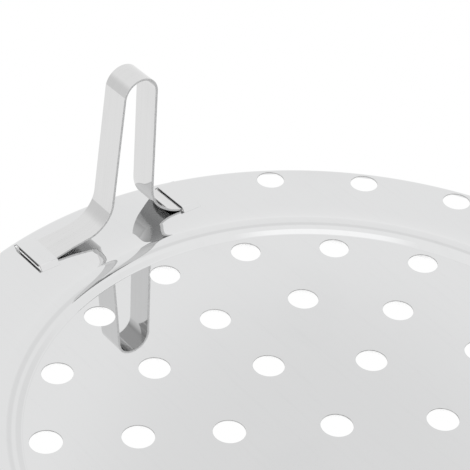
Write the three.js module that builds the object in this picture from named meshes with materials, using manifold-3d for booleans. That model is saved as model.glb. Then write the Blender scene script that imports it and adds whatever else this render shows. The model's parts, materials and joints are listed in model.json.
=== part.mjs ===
import * as THREE from 'three';
import { mergeVertices } from 'three/addons/utils/BufferGeometryUtils.js';
import Module from 'manifold-3d';

// A perforated steaming plate of thin polished sheet with two upright strip handles.
// Millimetres, +Z up. The origin is on the plate's axis, level with the foot of its lip.
// The handles stand on the X axis, each with its loop across the tangent of the plate.

// Plate sheet
const PLATE_RADIUS = 124;
const SHEET_THICKNESS = 0.4;
const FLOOR_RADIUS = 86.5;
const SHOULDER_WIDTH = 1.8;
const SHOULDER_HEIGHT = 1.8;
const RIDGE_WIDTH = 5;
const RIDGE_HEIGHT = 2.4;
const BEAD_WIDTH = 12;
const RIM_DROP = 0.5;
const RIM_SLOPE_DEG = 1;
const LIP_HEIGHT = 2.3;
const FLOOR_FILLET = 3;
const SHOULDER_FILLET = 1.5;
const RIDGE_FILLET = 9;
const BEAD_FOOT_FILLET = 25;
const LIP_FILLET = 2;
const HANDLE_INSET = 13.5;

// Steam holes
const HOLE_DIAMETER = 9;
const FIRST_RING_RADIUS = 30;
const RING_PITCH = 25;
const HOLES_PER_RING = 6;
const LEAST_WEB = 1;
const RIM_HOLE_COUNT = 24;
const RIM_HOLE_INSET = 6.8;

// Straps of the rim that hold the feet
const STRAP_LENGTH = 15.2;
const STRAP_WIDTH = 6.3;
const STRAP_RAMP = 1.4;
const STRAP_BEND = 0.5;
const STRAP_THINNING = 0.75;
const STRAP_ROOT = 0.3;
const SLIT_WIDTH = 0.3;

// Handle strip
const STRIP_THICKNESS = 0.8;
const STRIP_WIDTH = 9.8;
const LONG_FOOT_WIDTH = 10.8;
const SHORT_FOOT_WIDTH = 11.8;
const LOOP_HEIGHT = 54;
const CROWN_SPAN = 11.1;
const CROWN_OFFSET = 8.4;
const BASE_SPAN = 15.6;
const BASE_OFFSET = 5.7;
const LONG_FOOT_REACH = 23;
const SHORT_FOOT_REACH = 24.3;
const LONG_FOOT_LIFT = 3.5;
const SHORT_FOOT_LIFT = 1.2;
const FLARE_LENGTH = 8;
const LONG_FOOT_BEND = 8;
const SHORT_FOOT_BEND = 10;
const TWIST_LENGTH = 10;
const TOE_BEND = 6;
const TOE_INSET = 1;
const CLEARANCE = 0.3;

// Facets
const PLATE_SEGMENTS = 72;
const HOLE_SEGMENTS = 16;
const ARC_STEP_DEG = 15;
const STRIP_STEP = 3;
const SAME_PLACE = 1e-4;

const POLISHED_SHEET = { color: 0xdedfe0, roughness: 0.06, metalness: 1 };
const POLISHED_STRIP = { color: 0xdcdddd, roughness: 0.12, metalness: 1 };

const wasm = await Module();
wasm.setup();

const rimFall = Math.tan(THREE.MathUtils.degToRad(RIM_SLOPE_DEG));
const beadFoot = FLOOR_RADIUS + BEAD_WIDTH;
const handleRadius = PLATE_RADIUS - HANDLE_INSET;
const floorTop = rimTop(beadFoot) + RIM_DROP;
const topOfEverything = rimTop(handleRadius) + LOOP_HEIGHT;
const strapThickness = SHEET_THICKNESS * STRAP_THINNING;
const strapRise = (SHEET_THICKNESS + strapThickness) / 2 + STRIP_THICKNESS + 2 * CLEARANCE;
const footPlaces = [LONG_FOOT_REACH, -SHORT_FOOT_REACH];

// Height of the rim's upper face at a distance from the plate's axis.
function rimTop(radius) {
  return LIP_HEIGHT + rimFall * (PLATE_RADIUS - radius);
}

// Height of the rim's upper face under the middle of a handle strip, at a place along its loop.
function rimUnderHandle(along) {
  return rimTop(Math.hypot(handleRadius, along));
}

// Half of the angle between the two runs that meet at each corner of a line.
function halfAngles(places) {
  return places.map((place, i) => {
    if (i === 0 || i === places.length - 1) {
      return Math.PI / 2;
    }
    const back = places[i - 1].clone().sub(place).normalize();
    const ahead = places[i + 1].clone().sub(place).normalize();
    return 0.5 * Math.acos(THREE.MathUtils.clamp(back.dot(ahead), -1, 1));
  });
}

// How far each bend reaches along its two runs. Two bends that meet on a short run share its length.
function bendReaches(places, radii, angles) {
  const wanted = radii.map((radius, i) => radius / Math.tan(angles[i]));
  const shares = wanted.map(() => 1);
  for (let i = 1; i < places.length; i += 1) {
    const room = places[i].distanceTo(places[i - 1]) / (wanted[i] + wanted[i - 1]);
    shares[i] = Math.min(shares[i], room);
    shares[i - 1] = Math.min(shares[i - 1], room);
  }
  return wanted.map((reach, i) => reach * shares[i]);
}

// Points of the tangent arc that rounds one corner of a line.
function cornerArc(before, corner, after, halfAngle, reach) {
  const back = before.clone().sub(corner).normalize();
  const ahead = after.clone().sub(corner).normalize();
  const middle = back.clone().add(ahead).normalize();
  const centre = corner.clone().addScaledVector(middle, reach / Math.cos(halfAngle));
  const first = corner.clone().addScaledVector(back, reach).sub(centre);
  const turn = Math.sign(ahead.cross(back)) * (Math.PI - 2 * halfAngle);
  const steps = Math.max(2, Math.ceil(Math.abs(THREE.MathUtils.radToDeg(turn)) / ARC_STEP_DEG));
  const points = [];
  for (let step = 0; step <= steps; step += 1) {
    const spoke = first.clone().rotateAround(new THREE.Vector2(), (turn * step) / steps);
    points.push(centre.clone().add(spoke));
  }
  return points;
}

// A line of straight runs joined by tangent arcs, from a list of corners [x, y, bend radius].
function roundedLine(corners) {
  const places = corners.map(([x, y]) => new THREE.Vector2(x, y));
  const angles = halfAngles(places);
  const reaches = bendReaches(places, corners.map(([, , radius = 0]) => radius), angles);
  const line = [places[0]];
  for (let i = 1; i < places.length - 1; i += 1) {
    line.push(...cornerArc(places[i - 1], places[i], places[i + 1], angles[i], reaches[i]));
  }
  line.push(places.at(-1));
  return line.filter((place, i) => i === 0 || place.distanceTo(line[i - 1]) > SAME_PLACE);
}

// The same line with its long runs divided, so that it can be bent afterwards.
function dividedLine(line, longestStep) {
  const points = [line[0]];
  for (let i = 1; i < line.length; i += 1) {
    const pieces = Math.max(1, Math.ceil(line[i].distanceTo(line[i - 1]) / longestStep));
    for (let piece = 1; piece <= pieces; piece += 1) {
      points.push(line[i - 1].clone().lerp(line[i], piece / pieces));
    }
  }
  return points;
}

// One face of a sheet: the middle line moved sideways, with mitred corners.
function offsetLine(line, distance) {
  return line.map((point, i) => {
    const arriving = point.clone().sub(line[Math.max(i - 1, 0)]);
    const leaving = line[Math.min(i + 1, line.length - 1)].clone().sub(point);
    const tangents = [arriving, leaving].filter((run) => run.length() > SAME_PLACE);
    const normals = tangents.map((run) => new THREE.Vector2(-run.y, run.x).normalize());
    const mitre = normals[0].clone().add(normals.at(-1)).normalize();
    return point.clone().addScaledVector(mitre, distance / mitre.dot(normals[0]));
  });
}

// The closed outline of a sheet, seen along its edge.
function sheetOutline(line, thickness) {
  const upper = offsetLine(line, thickness / 2);
  const lower = offsetLine(line, -thickness / 2);
  return [...upper, ...lower.reverse()];
}

// A flat blank with one station for each point of a line, bent along it. The layout places each corner.
function bentBlank(line, thickness, layout) {
  const outer = offsetLine(line, -thickness / 2);
  const inner = offsetLine(line, thickness / 2);
  const runs = line.length - 1;
  const geometry = new THREE.BoxGeometry(1, runs, 1, 1, runs, 1);
  const position = geometry.attributes.position;
  for (let i = 0; i < position.count; i += 1) {
    const station = Math.round(position.getY(i) + runs / 2);
    const place = (position.getZ(i) > 0 ? inner : outer)[station];
    position.setXYZ(i, ...layout(position.getX(i), place));
  }
  geometry.computeVertexNormals();
  return geometry;
}

// A closed geometry as a manifold-3d solid, with shared vertices and no empty triangles.
function toSolid(geometry) {
  const bare = geometry.clone();
  bare.deleteAttribute('normal');
  bare.deleteAttribute('uv');
  const merged = mergeVertices(bare, SAME_PLACE);
  const triangles = [];
  const index = merged.index.array;
  for (let i = 0; i < index.length; i += 3) {
    const [a, b, c] = index.slice(i, i + 3);
    if (a !== b && b !== c && c !== a) {
      triangles.push(a, b, c);
    }
  }
  const vertProperties = new Float32Array(merged.attributes.position.array);
  const triVerts = new Uint32Array(triangles);
  return new wasm.Manifold(new wasm.Mesh({ numProp: 3, vertProperties, triVerts }));
}

function toGeometry(solid) {
  const mesh = solid.getMesh();
  const geometry = new THREE.BufferGeometry();
  geometry.setAttribute('position', new THREE.BufferAttribute(mesh.vertProperties, 3));
  geometry.setIndex(new THREE.BufferAttribute(mesh.triVerts, 1));
  const flat = geometry.toNonIndexed();
  flat.computeVertexNormals();
  return flat;
}

function namedMesh(name, geometry, finish) {
  const mesh = new THREE.Mesh(geometry, new THREE.MeshStandardMaterial(finish));
  mesh.name = name;
  return mesh;
}

// The pressed sheet without its cuts: flat floor, raised bead, sloping rim, turned-down lip.
// The bead rises steeply over a shoulder on the floor's side and falls away gently to the rim.
function pressedSheet() {
  const half = SHEET_THICKNESS / 2;
  const slopeHalf = half / Math.cos(Math.atan(rimFall));
  const middle = roundedLine([
    [0, floorTop - half],
    [FLOOR_RADIUS, floorTop - half, FLOOR_FILLET],
    [FLOOR_RADIUS + SHOULDER_WIDTH, floorTop - half + SHOULDER_HEIGHT, SHOULDER_FILLET],
    [FLOOR_RADIUS + RIDGE_WIDTH, floorTop - half + RIDGE_HEIGHT, RIDGE_FILLET],
    [beadFoot, rimTop(beadFoot) - slopeHalf, BEAD_FOOT_FILLET],
    [PLATE_RADIUS - half, rimTop(PLATE_RADIUS - half) - slopeHalf, LIP_FILLET],
    [PLATE_RADIUS - half, 0],
  ]);
  const profile = sheetOutline(middle, SHEET_THICKNESS).reverse();
  const geometry = new THREE.LatheGeometry(profile, PLATE_SEGMENTS);
  geometry.rotateX(Math.PI / 2);
  return toSolid(geometry);
}

// A tool that cuts right through the sheet, placed in plan.
function throughCut(geometry, x, y) {
  geometry.translate(x, y, floorTop);
  return toSolid(geometry);
}

function holeCut(radius, angle) {
  const punch = new THREE.CylinderGeometry(
    HOLE_DIAMETER / 2, HOLE_DIAMETER / 2, 2 * topOfEverything, HOLE_SEGMENTS);
  punch.rotateX(Math.PI / 2);
  return throughCut(punch, radius * Math.cos(angle), radius * Math.sin(angle));
}

// One hole in the middle and rings round it, while a web is left to the edge of the floor.
function floorHoleCuts() {
  const cuts = [holeCut(0, 0)];
  const lastRadius = FLOOR_RADIUS - LEAST_WEB - HOLE_DIAMETER / 2;
  for (let ring = 1; ; ring += 1) {
    const radius = FIRST_RING_RADIUS + (ring - 1) * RING_PITCH;
    if (radius > lastRadius) {
      return cuts;
    }
    const count = ring * HOLES_PER_RING;
    for (let hole = 0; hole < count; hole += 1) {
      cuts.push(holeCut(radius, (2 * Math.PI * hole) / count));
    }
  }
}

// One ring near the rim's edge, left out where the handles' feet take its place.
function rimHoleCuts() {
  const cuts = [];
  const radius = PLATE_RADIUS - RIM_HOLE_INSET;
  const keepOut = Math.max(LONG_FOOT_REACH, SHORT_FOOT_REACH) + 2 * STRAP_WIDTH;
  for (let hole = 0; hole < RIM_HOLE_COUNT; hole += 1) {
    const angle = (2 * Math.PI * hole) / RIM_HOLE_COUNT;
    if (Math.abs(radius * Math.sin(angle)) > keepOut) {
      cuts.push(holeCut(radius, angle));
    }
  }
  return cuts;
}

// The opening that a strap leaves in the rim, with a slit along both of its sides.
function strapWindow(side, middle) {
  const block = new THREE.BoxGeometry(STRAP_LENGTH, STRAP_WIDTH + 2 * SLIT_WIDTH, 2 * topOfEverything);
  return throughCut(block, side * handleRadius, side * middle);
}

// A strap pressed up out of the rim, a little drawn. Its two ends run on into the sheet.
function strap(side, middle) {
  const end = STRAP_LENGTH / 2;
  const line = roundedLine([
    [-end - STRAP_ROOT, 0],
    [-end, 0, STRAP_BEND],
    [-end + STRAP_RAMP, strapRise, STRAP_BEND],
    [end - STRAP_RAMP, strapRise, STRAP_BEND],
    [end, 0, STRAP_BEND],
    [end + STRAP_ROOT, 0],
  ]);
  const geometry = bentBlank(line, strapThickness, (across, place) => {
    const x = handleRadius + place.x;
    const y = middle - across * STRAP_WIDTH;
    return [x, y, rimTop(Math.hypot(x, y)) - SHEET_THICKNESS / 2 + place.y];
  });
  geometry.rotateZ(side > 0 ? 0 : Math.PI);
  return toSolid(geometry);
}

// The sheet with a strap over each foot of the two handles.
function strappedSheet(sheet) {
  let strapped = sheet;
  for (const side of [1, -1]) {
    for (const reach of footPlaces) {
      const middle = reach + Math.sign(reach) * (STRAP_WIDTH / 2);
      strapped = strapped.subtract(strapWindow(side, middle)).add(strap(side, middle));
    }
  }
  return strapped;
}

function steamerPlate() {
  const holes = [...floorHoleCuts(), ...rimHoleCuts()];
  const sheet = holes.reduce((solid, hole) => solid.subtract(hole), pressedSheet());
  return namedMesh('steamer_plate', toGeometry(strappedSheet(sheet)), POLISHED_SHEET);
}

// The middle line of the bent strip: toe, foot, leg, crown, leg, foot, toe. A toe lies under a strap.
function stripLine() {
  const half = STRIP_THICKNESS / 2;
  const over = (along) => rimUnderHandle(along) + CLEARANCE + half;
  const base = rimUnderHandle(0);
  const crown = topOfEverything - half;
  const foot = (side, reach) => {
    const toeEnd = side * (reach + STRAP_WIDTH - TOE_INSET);
    const toeHeel = side * (reach - TOE_INSET);
    return [
      [toeEnd, over(toeEnd)],
      [toeHeel, over(toeHeel), TOE_BEND],
    ];
  };
  const loop = [
    [BASE_SPAN / 2 - BASE_OFFSET, base + LONG_FOOT_LIFT, LONG_FOOT_BEND],
    [CROWN_SPAN / 2 - CROWN_OFFSET, crown, CROWN_SPAN],
    [-CROWN_SPAN / 2 - CROWN_OFFSET, crown, CROWN_SPAN],
    [-BASE_SPAN / 2 - BASE_OFFSET, base + SHORT_FOOT_LIFT, SHORT_FOOT_BEND],
  ];
  return roundedLine([
    ...foot(1, LONG_FOOT_REACH),
    ...loop,
    ...foot(-1, SHORT_FOOT_REACH).reverse(),
  ]);
}

// Distance out along the foot that a place belongs to, with the foot's reach, width and leg.
function footOf(along) {
  const middle = -BASE_OFFSET;
  const side = along > middle ? 1 : -1;
  const reach = side > 0 ? LONG_FOOT_REACH : SHORT_FOOT_REACH;
  const width = side > 0 ? LONG_FOOT_WIDTH : SHORT_FOOT_WIDTH;
  return { out: side * along, reach, width, leg: side * middle + BASE_SPAN / 2 };
}

// The strip widens a little down each foot.
function stripWidth(along) {
  const { out, reach, width } = footOf(along);
  const flare = THREE.MathUtils.smoothstep(out, reach - FLARE_LENGTH, reach);
  return THREE.MathUtils.lerp(STRIP_WIDTH, width, flare);
}

// Across its width the strip is level at the legs and lies along the rim's slope down its feet.
function stripFall(along) {
  const { out, leg } = footOf(along);
  const share = THREE.MathUtils.smoothstep(out, leg, leg + TWIST_LENGTH);
  return (share * rimFall * handleRadius) / Math.hypot(handleRadius, along);
}

// A handle's strip, bent along its line and fitted to the rim.
function stripGeometry() {
  const line = dividedLine(stripLine(), STRIP_STEP);
  return bentBlank(line, STRIP_THICKNESS, (across, place) => {
    const x = across * stripWidth(place.x);
    return [x, place.x, place.y - x * stripFall(place.x)];
  });
}

// A handle on its own bearing, with the middle of its strip under the middle of its straps.
function liftHandle(name, bearing) {
  const mesh = namedMesh(name, stripGeometry(), POLISHED_STRIP);
  mesh.position.x = handleRadius;
  const turned = new THREE.Group();
  turned.rotation.z = bearing;
  turned.add(mesh);
  return turned;
}

const steamer = new THREE.Group();
steamer.add(steamerPlate());
steamer.add(liftHandle('lift_handle_left', Math.PI));
steamer.add(liftHandle('lift_handle_right', 0));

export default steamer;
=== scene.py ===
"""A perforated steaming plate of mirror-polished sheet with two bent strip handles.

Metres, +Z up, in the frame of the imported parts. The plate stands on its lip at the origin.
"""

import json
import math

import bmesh
import bpy
from mathutils import Matrix, Vector


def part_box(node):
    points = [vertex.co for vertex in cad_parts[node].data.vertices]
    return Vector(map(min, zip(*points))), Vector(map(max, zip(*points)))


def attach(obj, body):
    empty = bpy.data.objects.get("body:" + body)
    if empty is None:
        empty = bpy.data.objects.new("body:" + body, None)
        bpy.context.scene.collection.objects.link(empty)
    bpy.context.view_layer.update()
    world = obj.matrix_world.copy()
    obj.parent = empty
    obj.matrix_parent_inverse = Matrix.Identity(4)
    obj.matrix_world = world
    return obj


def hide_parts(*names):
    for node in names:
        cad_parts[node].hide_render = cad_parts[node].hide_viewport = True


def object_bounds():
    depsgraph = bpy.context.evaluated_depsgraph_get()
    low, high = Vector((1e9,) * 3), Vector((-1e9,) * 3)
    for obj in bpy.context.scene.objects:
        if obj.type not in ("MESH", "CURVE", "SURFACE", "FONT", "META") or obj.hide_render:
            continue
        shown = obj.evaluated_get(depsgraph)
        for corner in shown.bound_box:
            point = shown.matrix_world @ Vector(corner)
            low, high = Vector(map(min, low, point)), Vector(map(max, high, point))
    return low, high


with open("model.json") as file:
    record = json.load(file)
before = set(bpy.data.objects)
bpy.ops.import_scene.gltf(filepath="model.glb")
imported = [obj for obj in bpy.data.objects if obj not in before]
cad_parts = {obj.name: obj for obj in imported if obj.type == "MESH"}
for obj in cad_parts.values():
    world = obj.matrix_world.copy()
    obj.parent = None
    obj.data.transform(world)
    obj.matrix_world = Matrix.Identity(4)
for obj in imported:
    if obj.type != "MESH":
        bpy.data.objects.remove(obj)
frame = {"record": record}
cad_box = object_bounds()

MM = 0.001
mounts = {mount["name"]: Vector(mount["pos_m"]) for mount in frame["record"]["mounts"]}

# Plate sheet
PLATE_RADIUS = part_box("steamer_plate")[1].x
FLOOR_TOP = mounts["floor_rest"].z
SHEET_THICKNESS = 0.4 * MM
FLOOR_RADIUS = 86.5 * MM
SHOULDER_WIDTH = 1.6 * MM
SHOULDER_HEIGHT = 1.2 * MM
RIDGE_WIDTH = 5 * MM
RIDGE_HEIGHT = 2.2 * MM
BEAD_WIDTH = 12 * MM
RIM_DROP = 0.5 * MM
RIM_FALL = math.tan(math.radians(1))
FLOOR_FILLET = 1.2 * MM
SHOULDER_FILLET = 1.5 * MM
RIDGE_FILLET = 9 * MM
BEAD_FOOT_FILLET = 25 * MM
LIP_FILLET = 2 * MM
LIP_BAND = 3 * SHEET_THICKNESS
PLATE_STEPS = 288
FILLET_SEGMENTS = 16

# Steam holes
FLOOR_HOLE_RADIUS = 4.6 * MM
RIM_HOLE_RADIUS = 4.42 * MM
FLOOR_RINGS = ((30 * MM, 6), (55 * MM, 12), (80 * MM, 18))
RIM_RING = (PLATE_RADIUS - 6.8 * MM, 24)
RIM_RING_KEEP_OUT = 36.9 * MM
PUNCH_DEPTH = 4 * MM
ROLLED_EDGE = 0.1 * MM
ROLLED_EDGE_PROUD = 0.01 * MM
ROLLED_EDGE_SEGMENTS = 4
HOLE_STEPS = 56

# Handle strip
STRIP_THICKNESS = 0.8 * MM
STRIP_WIDTH = 9.8 * MM
LONG_FOOT_WIDTH = 10.8 * MM
SHORT_FOOT_WIDTH = 13 * MM
HANDLE_RADIUS = PLATE_RADIUS - 13.5 * MM
CROWN_TOP = cad_box[1].z
CROWN_SPAN = 11.1 * MM
CROWN_OFFSET = 8.4 * MM
BASE_SPAN = 15.6 * MM
BASE_OFFSET = 5.7 * MM
LONG_FOOT_REACH = 23 * MM
SHORT_FOOT_REACH = 24.3 * MM
LONG_FOOT_LIFT = 3.5 * MM
SHORT_FOOT_LIFT = 2.2 * MM
LONG_FOOT_BEND = 11 * MM
SHORT_FOOT_BEND = 11 * MM
FLARE_LENGTH = 8 * MM
TWIST_LENGTH = 10 * MM
TOE_BEND = 3 * MM
TOE_INSET = 0.2 * MM
CONTACT_GAP = 0.1 * MM
DEBURRED_EDGE = 0.12 * MM
DEBURR_SEGMENTS = 3
STRIP_STEP = 1 * MM
BEND_STEP = math.radians(3)

# Straps of the rim that hold the feet
STRAP_LENGTH = 15.8 * MM
STRAP_WIDTH = 6.3 * MM
STRAP_THICKNESS = 0.32 * MM
STRAP_RAMP = 1.4 * MM
STRAP_RISE = 1.5 * MM
STRAP_BEND = 0.5 * MM
STRAP_ROOT = 0.3 * MM
STRAP_DEBURR = 0.04 * MM
SLIT_WIDTH = 0.12 * MM

SHARP_EDGE = math.radians(40)
SAME_PLACE = 0.001 * MM

# Shares of a face's normal that tell cut walls, strip edges and the strip's underside, which gets
# painted shade and a rougher finish
CUT_WALL_RISE = 0.3
STRIP_EDGE_TURN = 0.7
UNDERSIDE_STARTS = 0.25
UNDERSIDE_FULL = 0.6
STRIP_EDGE_SLOT = 1
STRIP_END_SLOT = 2

# Tones of the metal, with painted shade on the strip's underside and end faces
SHEET_CLEAN = (0.742, 0.745, 0.748, 1)
SHEET_WORN = (0.715, 0.718, 0.722, 1)
STRIP_CLEAN = 0.72
STRIP_WORN = 0.69
# Painted shade: colour of the strip's faces that look down
STRIP_UNDERSIDE_SHADE = 0.38
STRIP_EDGE_TONES = (0.66, 0.58)
# Painted shade: near-black end faces stand in for the shadow in the gap under the straps
STRIP_END_SHADE_TONES = (0.08, 0.05)
SHEET_EDGE_TONES = (0.52, 0.4)

# Photograph's view
CAMERA_PLACE = Vector((259.6, -264.0, 346.8)) * MM
CAMERA_TURN = math.radians(50)
CAMERA_TILT = math.radians(52.794)
CAMERA_ROLL = math.radians(3.723)
LENS_MM = 139.38
SENSOR_MM = 36
CAMERA_SHIFT = (0.0298, -0.0043)

CLIP_START = 10 * MM

# White table
TABLE_RADIUS = 300 * MM
TABLE_DROP = 0.2 * MM
TABLE_SIDES = 64
TABLE_TONE = 0.9
GAP_REACH = 40 * MM
GAP_SAMPLES = 24
OPEN_SKY = 0.04


def rim_top(radius):
    """Height of the rim's upper face at a distance from the plate's axis."""
    return FLOOR_TOP - RIM_DROP - RIM_FALL * (radius - FLOOR_RADIUS - BEAD_WIDTH)


def smooth_share(value, start, end):
    """0 before start and 1 after end, with a soft passage between them."""
    share = min(max((value - start) / (end - start), 0), 1)
    return share * share * (3 - 2 * share)


def half_angle(before, corner, after):
    """Half of the angle between the two runs that meet at a corner."""
    return 0.5 * (before - corner).angle(after - corner)


def only(kind, geometry):
    return [item for item in geometry if isinstance(item, kind)]


def wire(mesh, points):
    """A line of edges through the points."""
    verts = [mesh.verts.new(point) for point in points]
    for pair in zip(verts, verts[1:]):
        mesh.edges.new(pair)
    return verts


def round_corner(mesh, vert, reach, segments):
    """Rounds one corner of a wire or of a flat face."""
    bmesh.ops.bevel(
        mesh, geom=[vert], offset=reach, offset_type="OFFSET", affect="VERTICES",
        segments=segments, profile=0.5, material=-1)


def spin_round(mesh, steps):
    """Spins the whole wire a full turn round the Z axis and closes it there."""
    bmesh.ops.spin(
        mesh, geom=mesh.verts[:] + mesh.edges[:], cent=(0, 0, 0), axis=(0, 0, 1),
        angle=math.tau, steps=steps, use_merge=True)
    bmesh.ops.remove_doubles(mesh, verts=mesh.verts, dist=SAME_PLACE)
    bmesh.ops.recalc_face_normals(mesh, faces=mesh.faces)


def new_object(name, mesh):
    """A Blender object at the origin that takes over a finished bmesh."""
    data = bpy.data.meshes.new(name)
    mesh.to_mesh(data)
    mesh.free()
    piece = bpy.data.objects.new(name, data)
    bpy.context.scene.collection.objects.link(piece)
    return piece


def apply_modifiers(piece):
    """Replaces the piece's mesh by what its modifiers make of it."""
    graph = bpy.context.evaluated_depsgraph_get()
    made = bpy.data.meshes.new_from_object(piece.evaluated_get(graph), depsgraph=graph)
    made.name = piece.data.name
    piece.modifiers.clear()
    piece.data = made


def shade_smooth(piece):
    """Smooth shading that leaves wide faces true and keeps sheared edges sharp."""
    piece.data.polygons.foreach_set("use_smooth", [True] * len(piece.data.polygons))
    piece.data.set_sharp_from_angle(angle=SHARP_EDGE)
    weighted = piece.modifiers.new("weighted_normals", "WEIGHTED_NORMAL")
    weighted.mode = "FACE_AREA"
    weighted.keep_sharp = True
    apply_modifiers(piece)


def pressed_sheet():
    """The sheet's middle surface, spun from its section: floor, bead, rim and lip."""
    half = SHEET_THICKNESS / 2
    slope_half = half * math.hypot(1, RIM_FALL)
    middle = FLOOR_TOP - half
    bead_foot = FLOOR_RADIUS + BEAD_WIDTH
    lip = PLATE_RADIUS - half
    section = [
        Vector((FLOOR_HOLE_RADIUS, 0, middle)),
        Vector((FLOOR_RADIUS, 0, middle)),
        Vector((FLOOR_RADIUS + SHOULDER_WIDTH, 0, middle + SHOULDER_HEIGHT)),
        Vector((FLOOR_RADIUS + RIDGE_WIDTH, 0, middle + RIDGE_HEIGHT)),
        Vector((bead_foot, 0, rim_top(bead_foot) - slope_half)),
        Vector((lip, 0, rim_top(lip) - slope_half)),
        Vector((lip, 0, 0)),
    ]
    fillets = (FLOOR_FILLET, SHOULDER_FILLET, RIDGE_FILLET, BEAD_FOOT_FILLET, LIP_FILLET)
    mesh = bmesh.new()
    verts = wire(mesh, section)
    for i, fillet in enumerate(fillets, start=1):
        reach = fillet / math.tan(half_angle(*section[i - 1:i + 2]))
        round_corner(mesh, verts[i], reach, FILLET_SEGMENTS)
    spin_round(mesh, PLATE_STEPS)
    return new_object("steamer_plate_sheet", mesh)


def joined(name, meshes):
    """One object that holds several meshes as separate shells."""
    together = bmesh.new()
    for mesh in meshes:
        data = bpy.data.meshes.new("shell")
        mesh.to_mesh(data)
        mesh.free()
        together.from_mesh(data)
        bpy.data.meshes.remove(data)
    return new_object(name, together)


def punch(hole, radius, angle, surface, tilt):
    """A round punch square to the sheet, with a shoulder that rolls the hole's upper edge."""
    place = (
        Matrix.Rotation(angle, 4, "Z")
        @ Matrix.Translation((radius, 0, surface))
        @ Matrix.Rotation(tilt, 4, "Y"))
    shoulder = hole + 2 * ROLLED_EDGE
    mesh = bmesh.new()
    verts = wire(mesh, [
        (0, 0, -PUNCH_DEPTH),
        (hole, 0, -PUNCH_DEPTH),
        (hole, 0, ROLLED_EDGE_PROUD),
        (shoulder, 0, ROLLED_EDGE_PROUD),
        (shoulder, 0, PUNCH_DEPTH),
        (0, 0, PUNCH_DEPTH),
    ])
    round_corner(mesh, verts[2], ROLLED_EDGE, ROLLED_EDGE_SEGMENTS)
    spin_round(mesh, HOLE_STEPS)
    bmesh.ops.transform(mesh, matrix=place, verts=mesh.verts)
    return mesh


def strap_places():
    """Bearing of the handle and middle of the strap along it, for all the straps."""
    half = STRAP_WIDTH / 2
    return [
        (bearing, middle)
        for bearing in (0, math.pi)
        for middle in (LONG_FOOT_REACH + half, -SHORT_FOOT_REACH - half)]


def strap_window(bearing, middle):
    """A block that opens the rim under a strap, with a fine slit along both of its sides."""
    size = (STRAP_LENGTH, STRAP_WIDTH + 2 * SLIT_WIDTH, 2 * PUNCH_DEPTH)
    centre = Vector((HANDLE_RADIUS, middle, rim_top(HANDLE_RADIUS)))
    mesh = bmesh.new()
    bmesh.ops.create_cube(mesh, size=1)
    bmesh.ops.scale(mesh, vec=size, verts=mesh.verts)
    bmesh.ops.translate(mesh, vec=centre, verts=mesh.verts)
    bmesh.ops.rotate(mesh, matrix=Matrix.Rotation(bearing, 3, "Z"), verts=mesh.verts)
    return mesh


def cutting_tools():
    """The punches and blocks that cut the sheet."""
    tools = [strap_window(*place) for place in strap_places()]
    for radius, count in FLOOR_RINGS:
        for hole in range(count):
            angle = math.tau * hole / count
            tools.append(punch(FLOOR_HOLE_RADIUS, radius, angle, FLOOR_TOP, 0))
    radius, count = RIM_RING
    for hole in range(count):
        angle = math.tau * hole / count
        if abs(radius * math.sin(angle)) > RIM_RING_KEEP_OUT:
            tools.append(punch(RIM_HOLE_RADIUS, radius, angle, rim_top(radius), math.atan(RIM_FALL)))
    return joined("cutting_tools", tools)


def strap(bearing, middle):
    """A strap pressed up out of the rim. Its two ends run on inside the sheet."""
    end = STRAP_LENGTH / 2
    mesh = bent_strip([
        (Vector((0, -end - STRAP_ROOT, 0)), 0),
        (Vector((0, -end, 0)), STRAP_BEND),
        (Vector((0, -end + STRAP_RAMP, STRAP_RISE)), STRAP_BEND),
        (Vector((0, end - STRAP_RAMP, STRAP_RISE)), STRAP_BEND),
        (Vector((0, end, 0)), STRAP_BEND),
        (Vector((0, end + STRAP_ROOT, 0)), 0),
    ], STRAP_WIDTH, STRAP_THICKNESS, STRAP_DEBURR)
    place = (
        Matrix.Translation((HANDLE_RADIUS, middle, -SHEET_THICKNESS / 2))
        @ Matrix.Rotation(-math.pi / 2, 4, "Z"))
    bmesh.ops.transform(mesh, matrix=place, verts=mesh.verts)
    for vert in mesh.verts:
        vert.co.z += rim_top(vert.co.xy.length)
    bmesh.ops.rotate(mesh, matrix=Matrix.Rotation(bearing, 3, "Z"), verts=mesh.verts)
    return mesh


def steamer_plate(sheet_finish, cut_finish):
    """The pressed sheet with its thickness, its holes and its straps."""
    plate = pressed_sheet()
    tools = cutting_tools()
    straps = joined("straps", [strap(*place) for place in strap_places()])
    wall = plate.modifiers.new("thickness", "SOLIDIFY")
    wall.thickness = SHEET_THICKNESS
    wall.offset = 0
    wall.use_even_offset = True
    for operation, other in (("DIFFERENCE", tools), ("UNION", straps)):
        shape = plate.modifiers.new(other.name, "BOOLEAN")
        shape.operation = operation
        shape.solver = "EXACT"
        shape.object = other
    apply_modifiers(plate)
    bpy.data.objects.remove(tools)
    bpy.data.objects.remove(straps)
    plate.data.materials.clear()
    plate.data.materials.append(sheet_finish)
    plate.data.materials.append(cut_finish)
    inside_lip = PLATE_RADIUS - LIP_BAND
    for face in plate.data.polygons:
        upright = abs(face.normal.z) < CUT_WALL_RISE
        face.material_index = int(upright and face.center.xy.length < inside_lip)
    shade_smooth(plate)
    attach(plate, "root")
    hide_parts("steamer_plate")


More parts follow.
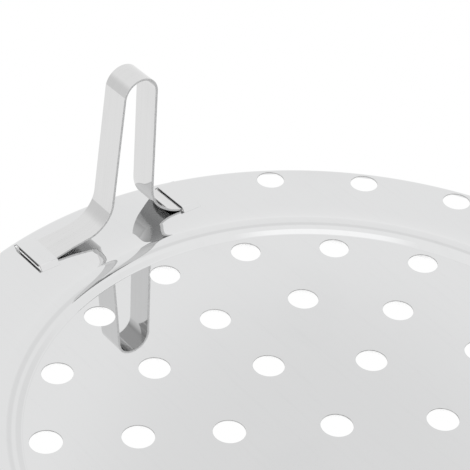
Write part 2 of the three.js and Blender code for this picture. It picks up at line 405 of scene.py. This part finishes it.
def strip_corners():
    """Corners of the strip's middle line, toe to toe: (0, along, height) and bend radius."""
    half = STRIP_THICKNESS / 2
    base = rim_top(HANDLE_RADIUS)

    def over(along):
        return Vector((0, along, rim_top(math.hypot(HANDLE_RADIUS, along)) + CONTACT_GAP + half))

    def foot(side, reach):
        toe_end = side * (reach + STRAP_WIDTH - TOE_INSET)
        toe_heel = side * (reach - TOE_INSET)
        return [(over(toe_end), 0), (over(toe_heel), TOE_BEND)]

    crown = CROWN_TOP - half
    loop = [
        (Vector((0, BASE_SPAN / 2 - BASE_OFFSET, base + LONG_FOOT_LIFT)), LONG_FOOT_BEND),
        (Vector((0, CROWN_SPAN / 2 - CROWN_OFFSET, crown)), CROWN_SPAN),
        (Vector((0, -CROWN_SPAN / 2 - CROWN_OFFSET, crown)), CROWN_SPAN),
        (Vector((0, -BASE_SPAN / 2 - BASE_OFFSET, base + SHORT_FOOT_LIFT)), SHORT_FOOT_BEND),
    ]
    return [*foot(1, LONG_FOOT_REACH), *loop, *reversed(foot(-1, SHORT_FOOT_REACH))]


def bend_reaches(places, radii):
    """How far each bend reaches along its runs. Two bends that meet on a run share it."""
    wanted = [0] * len(places)
    for i in range(1, len(places) - 1):
        wanted[i] = radii[i] / math.tan(half_angle(*places[i - 1:i + 2]))
    shares = [1] * len(places)
    for i in range(1, len(places)):
        both = max(wanted[i] + wanted[i - 1], SAME_PLACE)
        room = (places[i] - places[i - 1]).length / both
        shares[i] = min(shares[i], room)
        shares[i - 1] = min(shares[i - 1], room)
    return [reach * share for reach, share in zip(wanted, shares)]


def run_on(mesh, end, travel):
    """Extrudes the strip's end face straight on, in short steps, and leaves no wall inside."""
    steps = max(1, math.ceil(travel.length / STRIP_STEP))
    for _ in range(steps):
        made = bmesh.ops.extrude_face_region(mesh, geom=[end])["geom"]
        bmesh.ops.translate(mesh, vec=travel / steps, verts=only(bmesh.types.BMVert, made))
        if all(len(edge.link_faces) > 2 for edge in end.edges):
            bmesh.ops.delete(mesh, geom=[end], context="FACES_ONLY")
        end = only(bmesh.types.BMFace, made)[0]
    return end


def bend_on(mesh, end, centre, turn):
    """Spins the strip's end face round a bend."""
    made = bmesh.ops.spin(
        mesh, geom=[end, *end.edges, *end.verts], cent=centre, axis=(1, 0, 0),
        angle=turn, steps=max(2, math.ceil(abs(turn) / BEND_STEP)))["geom_last"]
    return only(bmesh.types.BMFace, made)[0]


def strip_end(mesh, place, ahead, width, thickness, deburr):
    """The strip's section at its first end, square to its first run, with deburred corners."""
    across = Vector((width / 2, 0, 0))
    through = across.normalized().cross(ahead) * thickness / 2
    corners = [
        mesh.verts.new(place + a * across + b * through)
        for a, b in ((-1, -1), (1, -1), (1, 1), (-1, 1))]
    mesh.faces.new(corners)
    for corner in corners:
        round_corner(mesh, corner, deburr, DEBURR_SEGMENTS)
    return mesh.faces[:][0]


def bent_strip(corners, width, thickness, deburr):
    """A strip bent along a line of corners, equally wide all the way."""
    places, radii = zip(*corners)
    reaches = bend_reaches(places, radii)
    mesh = bmesh.new()
    here = places[0]
    end = strip_end(mesh, here, (places[1] - here).normalized(), width, thickness, deburr)
    for i in range(1, len(places) - 1):
        back = (places[i - 1] - places[i]).normalized()
        ahead = (places[i + 1] - places[i]).normalized()
        half = half_angle(*places[i - 1:i + 2])
        bend_start = places[i] + back * reaches[i]
        centre = places[i] + (back + ahead).normalized() * reaches[i] / math.cos(half)
        turn = math.copysign(math.pi - 2 * half, ahead.cross(back).x)
        end = run_on(mesh, end, bend_start - here)
        end = bend_on(mesh, end, centre, turn)
        here = places[i] + ahead * reaches[i]
    run_on(mesh, end, places[-1] - here)
    bmesh.ops.recalc_face_normals(mesh, faces=mesh.faces)
    return mesh


def fit_to_rim(mesh):
    """Widens the feet and lays them along the rim's slope. The legs stay level across."""
    for vert in mesh.verts:
        along = vert.co.y
        side, reach, width = 1, LONG_FOOT_REACH, LONG_FOOT_WIDTH
        if along < -BASE_OFFSET:
            side, reach, width = -1, SHORT_FOOT_REACH, SHORT_FOOT_WIDTH
        out = side * along
        leg = BASE_SPAN / 2 - side * BASE_OFFSET
        fall = RIM_FALL * HANDLE_RADIUS / math.hypot(HANDLE_RADIUS, along)
        flare = smooth_share(out, reach - FLARE_LENGTH, reach)
        vert.co.x *= 1 + flare * (width / STRIP_WIDTH - 1)
        vert.co.z -= vert.co.x * fall * smooth_share(out, leg, leg + TWIST_LENGTH)


def lift_handle(node, bearing, strip_finish, cut_finish, end_painted_shade):
    """One bent strip with its toes under two straps, at its bearing round the plate."""
    mesh = bent_strip(strip_corners(), STRIP_WIDTH, STRIP_THICKNESS, DEBURRED_EDGE)
    fit_to_rim(mesh)
    place = Matrix.Rotation(bearing, 4, "Z") @ Matrix.Translation((HANDLE_RADIUS, 0, 0))
    bmesh.ops.transform(mesh, matrix=place, verts=mesh.verts)
    handle = new_object(node + "_strip", mesh)
    handle.data.materials.append(strip_finish)
    handle.data.materials.append(cut_finish)
    handle.data.materials.append(end_painted_shade)
    # Mask of the faces that look down, for the strip's painted shade and rougher finish
    underside = handle.data.attributes.new("underside", "FLOAT", "POINT")
    underside.data.foreach_set("value", [
        smooth_share(-vert.normal.z, UNDERSIDE_STARTS, UNDERSIDE_FULL)
        for vert in handle.data.vertices])
    # End faces get near-black painted shade for the gap under the straps; upright sides get the cut
    # finish
    for face in handle.data.polygons:
        if len(face.vertices) > 4:
            face.material_index = STRIP_END_SLOT
        elif abs(face.normal.x) > STRIP_EDGE_TURN:
            face.material_index = STRIP_EDGE_SLOT
    shade_smooth(handle)
    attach(handle, "root")
    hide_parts(node)


class Shade:
    """One socket of a node tree. Sums and products of shades add Math nodes."""

    def __init__(self, tree, socket=None):
        self.tree = tree
        self.socket = socket

    def add(self, kind, settings=None, sockets=None, output=0):
        """A new node with its settings, then the values or links of its sockets."""
        node = self.tree.nodes.new(kind)
        for name, value in (settings or {}).items():
            setattr(node, name, value)
        for key, value in (sockets or {}).items():
            if isinstance(value, Shade):
                self.tree.links.new(value.socket, node.inputs[key])
            else:
                node.inputs[key].default_value = value
        return Shade(self.tree, node.outputs[output] if node.outputs else None)

    def maths(self, operation, first, second):
        return self.add("ShaderNodeMath", {"operation": operation}, {0: first, 1: second})

    def __add__(self, other):
        return self.maths("ADD", self, other)

    def __radd__(self, other):
        return self.maths("ADD", other, self)

    def __sub__(self, other):
        return self.maths("SUBTRACT", self, other)

    def __rsub__(self, other):
        return self.maths("SUBTRACT", other, self)

    def __mul__(self, other):
        return self.maths("MULTIPLY", self, other)

    def __rmul__(self, other):
        return self.maths("MULTIPLY", other, self)

    def mix(self, colour_at_0, colour_at_1):
        """Two colours mixed by this value."""
        return self.add(
            "ShaderNodeMix", {"data_type": "RGBA"}, {0: self, 6: colour_at_0, 7: colour_at_1}, 2)

    def ramp(self, low, high):
        """0 below low and 1 above high."""
        return self.add(
            "ShaderNodeMapRange", {"interpolation_type": "SMOOTHSTEP"},
            {"Value": self, "From Min": low, "From Max": high})


def empty_tree(owner):
    owner.use_nodes = True
    owner.node_tree.nodes.clear()
    return Shade(owner.node_tree)


def grey(value):
    return (value, value, value, 1)


def marks(shade, scale, stretch, turn=0.0, detail=3.0):
    """Streaks or smudges: noise on the piece's own coordinates, stretched one way."""
    here = shade.add("ShaderNodeTexCoord", output=3)
    laid = shade.add(
        "ShaderNodeMapping", None,
        {"Vector": here, "Rotation": (0, 0, turn), "Scale": stretch})
    return shade.add(
        "ShaderNodeTexNoise", {"noise_dimensions": "3D"},
        {"Vector": laid, "Scale": scale, "Detail": detail})


def polished_sheet():
    """Mirror-polished sheet with wiping marks and a faintly uneven surface."""
    material = bpy.data.materials.new("polished_sheet")
    shade = empty_tree(material)
    smudge = marks(shade, 22, (1, 1, 1)).ramp(0.52, 0.75)
    wiped = marks(shade, 40, (1, 14, 1), math.radians(35)).ramp(0.5, 0.8)
    swell = marks(shade, 14, (1, 1, 1), detail=1)
    worn = smudge * 0.6 + wiped * 0.4
    colour = worn.mix(SHEET_CLEAN, SHEET_WORN)
    surface = shade.add("ShaderNodeBump", None, {
        "Strength": 0.1, "Distance": 0.02 * MM, "Height": swell})
    metal = shade.add("ShaderNodeBsdfPrincipled", None, {
        "Base Color": colour, "Metallic": 1, "Roughness": 0.02 + worn * 0.05, "Normal": surface})
    shade.add("ShaderNodeOutputMaterial", None, {"Surface": metal})
    return material


def polished_strip():
    """Polished strip with fine streaks along its length. Where it faces down it is rougher, and its
    colour is darkened as painted shade.
    """
    material = bpy.data.materials.new("polished_strip")
    shade = empty_tree(material)
    streaks = marks(shade, 30, (90, 1, 1)).ramp(0.35, 0.7)
    smudge = marks(shade, 90, (1, 1, 0.5)).ramp(0.5, 0.75)
    worn = streaks * 0.6 + smudge * 0.4
    # Painted shade where the strip faces down, plus a higher roughness there
    dull_and_painted_shade = shade.add("ShaderNodeAttribute", {"attribute_name": "underside"}, output=2)
    colour = dull_and_painted_shade.mix(worn.mix(grey(STRIP_CLEAN), grey(STRIP_WORN)), grey(STRIP_UNDERSIDE_SHADE))
    metal = shade.add("ShaderNodeBsdfPrincipled", None, {
        "Base Color": colour, "Metallic": 1, "Roughness": 0.03 + worn * 0.05 + dull_and_painted_shade * 0.1})
    shade.add("ShaderNodeOutputMaterial", None, {"Surface": metal})
    return material


def sheared_edge(name, light, dark):
    """Bare cut metal, duller than the polished faces. With near-black tones it serves as painted
    shade.
    """
    material = bpy.data.materials.new(name)
    shade = empty_tree(material)
    torn = marks(shade, 900, (1, 1, 1)).ramp(0.3, 0.7)
    colour = torn.mix(grey(light), grey(dark))
    metal = shade.add("ShaderNodeBsdfPrincipled", None, {
        "Base Color": colour, "Metallic": 1, "Roughness": 0.25 + torn * 0.15})
    shade.add("ShaderNodeOutputMaterial", None, {"Surface": metal})
    return material


def shown_background(shade):
    """1 for rays that show the background: seen directly, in metal or through glass."""
    path = shade.add("ShaderNodeLightPath")
    rays = path.socket.node.outputs
    seen = Shade(shade.tree, rays["Is Camera Ray"])
    mirrored = Shade(shade.tree, rays["Is Glossy Ray"])
    passed = Shade(shade.tree, rays["Is Transmission Ray"])
    return seen + mirrored + passed


def white_floor():
    """A small white table that keeps a shadow in the narrow gaps under the plate."""
    mesh = bmesh.new()
    bmesh.ops.create_circle(mesh, cap_ends=True, segments=TABLE_SIDES, radius=TABLE_RADIUS)
    bmesh.ops.translate(mesh, vec=(0, 0, -TABLE_DROP), verts=mesh.verts)
    floor = new_object("white_floor", mesh)
    material = bpy.data.materials.new("white_floor")
    shade = empty_tree(material)
    lit = shade.add("ShaderNodeBsdfDiffuse", None, {"Color": grey(TABLE_TONE)})
    plain = shade.add("ShaderNodeEmission", None, {"Color": grey(1)})
    open_sky = shade.add(
        "ShaderNodeAmbientOcclusion", {"samples": GAP_SAMPLES}, {"Distance": GAP_REACH}, 1)
    mixed = shade.add("ShaderNodeMixShader", None, {
        0: shown_background(shade) * open_sky.ramp(0, OPEN_SKY), 1: lit, 2: plain})
    shade.add("ShaderNodeOutputMaterial", None, {"Surface": mixed})
    floor.data.materials.append(material)


def toward(bearing, elevation):
    """The direction at a bearing round the plate and an elevation, both in degrees."""
    level = math.cos(math.radians(elevation))
    return (
        level * math.cos(math.radians(bearing)),
        level * math.sin(math.radians(bearing)),
        math.sin(math.radians(elevation)))


def white_studio():
    """White surroundings with one soft light overhead and a few dimmer patches."""
    world = bpy.data.worlds.new("white_studio")
    bpy.context.scene.world = world
    shade = empty_tree(world)
    path = shade.add("ShaderNodeLightPath")
    seen = Shade(shade.tree, path.socket.node.outputs["Is Camera Ray"])
    direction = shade.add("ShaderNodeTexCoord")

    def patch(centre, edge_deg, full_deg):
        """1 within full_deg of a direction and 0 beyond edge_deg of it."""
        nearness = shade.add(
            "ShaderNodeVectorMath", {"operation": "DOT_PRODUCT"}, {0: direction, 1: centre}, 1)
        return nearness.ramp(math.cos(math.radians(edge_deg)), math.cos(math.radians(full_deg)))

    softbox = patch(toward(-24, 70), 20, 9) * 0.19
    overhead = patch(toward(0, 90), 42, 30) * 0.04
    backdrop_top = patch(toward(135, 46), 9, 3) * 0.085
    dark_room = patch(toward(-138, 4), 38, 8) * 0.2
    side_wall = patch(toward(95, 8), 32, 10) * 0.08
    level = 1 + softbox + overhead - backdrop_top - dark_room - side_wall
    light = shade.add("ShaderNodeBackground", None, {
        "Color": grey(1), "Strength": seen + (1 - seen) * level})
    shade.add("ShaderNodeOutputWorld", None, {"Surface": light})


def photograph_camera():
    """The photograph's view of the left handle and the plate in front of it."""
    lens = bpy.data.cameras.new("camera")
    lens.lens = LENS_MM
    lens.sensor_width = SENSOR_MM
    lens.shift_x, lens.shift_y = CAMERA_SHIFT
    lens.clip_start = CLIP_START
    camera = bpy.data.objects.new("camera", lens)
    camera.matrix_world = (
        Matrix.Translation(CAMERA_PLACE)
        @ Matrix.Rotation(CAMERA_TURN, 4, "Z")
        @ Matrix.Rotation(CAMERA_TILT, 4, "X")
        @ Matrix.Rotation(CAMERA_ROLL, 4, "Z"))
    bpy.context.scene.collection.objects.link(camera)
    bpy.context.scene.camera = camera


strip_finishes_and_shade = [
    polished_strip(),
    sheared_edge("strip_edge", *STRIP_EDGE_TONES),
    # Painted shade: near-black end faces for the shadow under the straps
    sheared_edge("strip_end", *STRIP_END_SHADE_TONES),
]
steamer_plate(polished_sheet(), sheared_edge("sheet_edge", *SHEET_EDGE_TONES))
lift_handle("lift_handle_left", math.pi, *strip_finishes_and_shade)
lift_handle("lift_handle_right", 0, *strip_finishes_and_shade)
white_floor()
white_studio()
photograph_camera()
bpy.context.scene.view_settings.view_transform = "Standard"
